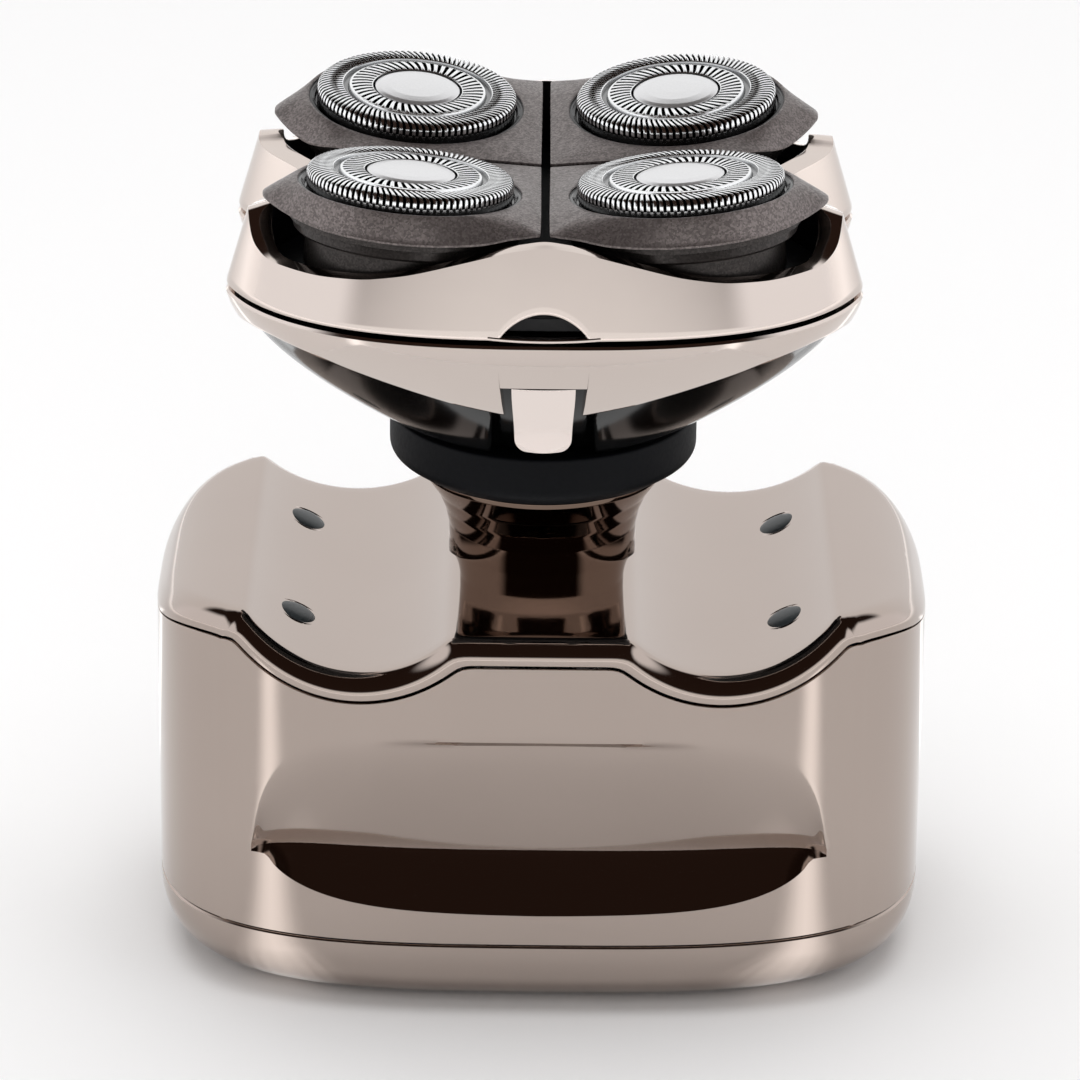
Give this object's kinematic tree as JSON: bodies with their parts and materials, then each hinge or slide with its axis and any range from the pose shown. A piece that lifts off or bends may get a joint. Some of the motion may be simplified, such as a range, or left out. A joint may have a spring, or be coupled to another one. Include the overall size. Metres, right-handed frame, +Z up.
{
  "type": "electric shaver",
  "caption": "Palm-held rotary head shaver: plated handle with finger troughs and scoop, round neck, lobed flip-open head with sprung pods, slotted guards and spinning cutters.",
  "frame": {"origin": "middle of the flat base, where the shaver stands", "axes": "+Z up through the neck, +X to the right, -Y towards the front with the finger scoop"},
  "size_m": [0.086, 0.0647, 0.0945],
  "materials": {
    "bronze_chrome": "plated plastic, mirror bronze",
    "dark_chrome": "plated plastic, mirror dark bronze",
    "pale_chrome": "plated plastic, pale bronze",
    "soft_rubber": "soft moulded",
    "steel": "polished stainless",
    "gloss_black": "gloss",
    "matt_black": "matt moulded",
    "pod_paint": "metallic anthracite paint",
    "nylon": "moulded nylon",
    "cell_wrap": "shrink wrap",
    "board_green": "solder mask",
    "dark_lens": "smoked window"
  },
  "bodies": {
    "handle": {"bottom_cover": "bronze_chrome", "housing": "bronze_chrome", "top_cover": "bronze_chrome", "grip_pad_front_left": "soft_rubber", "grip_pad_front_right": "soft_rubber", "grip_pad_rear_left": "soft_rubber", "grip_pad_rear_right": "soft_rubber", "base_screw_front_left": "steel", "base_screw_front_right": "steel", "base_screw_rear_left": "steel", "base_screw_rear_right": "steel", "neck_sleeve": "dark_chrome", "neck_bearing": "steel", "neck_seal": "soft_rubber", "chassis": "nylon", "motor": "steel", "battery_left": "cell_wrap", "battery_right": "cell_wrap", "circuit_board": "board_green", "button_ring": "pale_chrome", "display_lens": "dark_lens", "charging_socket": "matt_black"},
    "spindle": {"motor_shaft": "steel", "drive_coupling": "nylon"},
    "button": {"power_button": "bronze_chrome"},
    "collar": {"collar": "matt_black"},
    "head": {"head_shell": "gloss_black", "head_skirt": "pale_chrome", "gear_plate": "matt_black", "hinge_pin": "steel"},
    "tongue": {"release_tongue": "pale_chrome"},
    "centre_gear": {"central_gear": "nylon"},
    "blade_frame": {"rim": "pale_chrome", "pod_tray": "matt_black"},
    "gear_front_left": {"cutter_gear_front_left": "nylon"},
    "pod_front_left": {"pod_front_left": "pod_paint", "guard_front_left": "steel", "guard_cap_front_left": "steel"},
    "cutter_front_left": {"cutter_front_left": "steel"},
    "gear_front_right": {"cutter_gear_front_right": "nylon"},
    "pod_front_right": {"pod_front_right": "pod_paint", "guard_front_right": "steel", "guard_cap_front_right": "steel"},
    "cutter_front_right": {"cutter_front_right": "steel"},
    "gear_rear_left": {"cutter_gear_rear_left": "nylon"},
    "pod_rear_left": {"pod_rear_left": "pod_paint", "guard_rear_left": "steel", "guard_cap_rear_left": "steel"},
    "cutter_rear_left": {"cutter_rear_left": "steel"},
    "gear_rear_right": {"cutter_gear_rear_right": "nylon"},
    "pod_rear_right": {"pod_rear_right": "pod_paint", "guard_rear_right": "steel", "guard_cap_rear_right": "steel"},
    "cutter_rear_right": {"cutter_rear_right": "steel"}
  },
  "joints": [
    {"name": "spindle_spin", "type": "hinge", "parent": "handle", "child": "spindle", "pos_m": [0, 0, 0.04], "axis": [0, 0, 1], "continuous": true},
    {"name": "button_press", "type": "slide", "parent": "handle", "child": "button", "axis": [0, -1, 0], "range_m": [0, 0.0008], "stiffness_N_per_m": 800},
    {"name": "head_lift", "type": "slide", "parent": "handle", "child": "collar", "axis": [0, 0, 1], "range_m": [0, 0.022]},
    {"name": "head_turn", "type": "hinge", "parent": "collar", "child": "head", "pos_m": [0, 0, 0.0612], "axis": [0, 0, 1], "range_deg": [-10, 10]},
    {"name": "frame_open", "type": "hinge", "parent": "head", "child": "blade_frame", "pos_m": [0, 0.0318, 0.08], "axis": [-1, 0, 0], "range_deg": [0, 100]},
    {"name": "tongue_press", "type": "hinge", "parent": "head", "child": "tongue", "pos_m": [0, -0.0265, 0.0737], "axis": [1, 0, 0], "range_deg": [0, 4], "stiffness_Nm_per_rad": 0.05},
    {"name": "centre_gear_spin", "type": "hinge", "parent": "head", "child": "centre_gear", "pos_m": [0, 0, 0.076], "axis": [0, 0, 1], "continuous": true},
    {"name": "gear_spin_front_left", "type": "hinge", "parent": "head", "child": "gear_front_left", "pos_m": [-0.01513, -0.01513, 0.076], "axis": [0, 0, 1], "continuous": true},
    {"name": "pod_tilt_front_left", "type": "hinge", "parent": "blade_frame", "child": "pod_front_left", "pos_m": [-0.01513, -0.01513, 0.084], "axis": [0.7071, -0.7071, 0], "range_deg": [-3, 3], "stiffness_Nm_per_rad": 0.08},
    {"name": "cutter_spin_front_left", "type": "hinge", "parent": "pod_front_left", "child": "cutter_front_left", "pos_m": [-0.0144, -0.0144, 0.0933], "axis": [0.0782, 0.0782, 0.9939], "continuous": true},
    {"name": "gear_spin_front_right", "type": "hinge", "parent": "head", "child": "gear_front_right", "pos_m": [0.01513, -0.01513, 0.076], "axis": [0, 0, 1], "continuous": true},
    {"name": "pod_tilt_front_right", "type": "hinge", "parent": "blade_frame", "child": "pod_front_right", "pos_m": [0.01513, -0.01513, 0.084], "axis": [0.7071, 0.7071, 0], "range_deg": [-3, 3], "stiffness_Nm_per_rad": 0.08},
    {"name": "cutter_spin_front_right", "type": "hinge", "parent": "pod_front_right", "child": "cutter_front_right", "pos_m": [0.0144, -0.0144, 0.0933], "axis": [-0.0782, 0.0782, 0.9939], "continuous": true},
    {"name": "gear_spin_rear_left", "type": "hinge", "parent": "head", "child": "gear_rear_left", "pos_m": [-0.01513, 0.01513, 0.076], "axis": [0, 0, 1], "continuous": true},
    {"name": "pod_tilt_rear_left", "type": "hinge", "parent": "blade_frame", "child": "pod_rear_left", "pos_m": [-0.01513, 0.01513, 0.084], "axis": [-0.7071, -0.7071, 0], "range_deg": [-3, 3], "stiffness_Nm_per_rad": 0.08},
    {"name": "cutter_spin_rear_left", "type": "hinge", "parent": "pod_rear_left", "child": "cutter_rear_left", "pos_m": [-0.0144, 0.0144, 0.0933], "axis": [0.0782, -0.0782, 0.9939], "continuous": true},
    {"name": "gear_spin_rear_right", "type": "hinge", "parent": "head", "child": "gear_rear_right", "pos_m": [0.01513, 0.01513, 0.076], "axis": [0, 0, 1], "continuous": true},
    {"name": "pod_tilt_rear_right", "type": "hinge", "parent": "blade_frame", "child": "pod_rear_right", "pos_m": [0.01513, 0.01513, 0.084], "axis": [-0.7071, 0.7071, 0], "range_deg": [-3, 3], "stiffness_Nm_per_rad": 0.08},
    {"name": "cutter_spin_rear_right", "type": "hinge", "parent": "pod_rear_right", "child": "cutter_rear_right", "pos_m": [0.0144, 0.0144, 0.0933], "axis": [-0.0782, -0.0782, 0.9939], "continuous": true}
  ],
  "couplings": [
    {"joint": "centre_gear_spin", "follows": "spindle_spin", "ratio": 1},
    {"joint": "gear_spin_front_left", "follows": "spindle_spin", "ratio": -1.75},
    {"joint": "cutter_spin_front_left", "follows": "spindle_spin", "ratio": -1.75},
    {"joint": "gear_spin_front_right", "follows": "spindle_spin", "ratio": -1.75},
    {"joint": "cutter_spin_front_right", "follows": "spindle_spin", "ratio": -1.75},
    {"joint": "gear_spin_rear_left", "follows": "spindle_spin", "ratio": -1.75},
    {"joint": "cutter_spin_rear_left", "follows": "spindle_spin", "ratio": -1.75},
    {"joint": "gear_spin_rear_right", "follows": "spindle_spin", "ratio": -1.75},
    {"joint": "cutter_spin_rear_right", "follows": "spindle_spin", "ratio": -1.75}
  ]
}
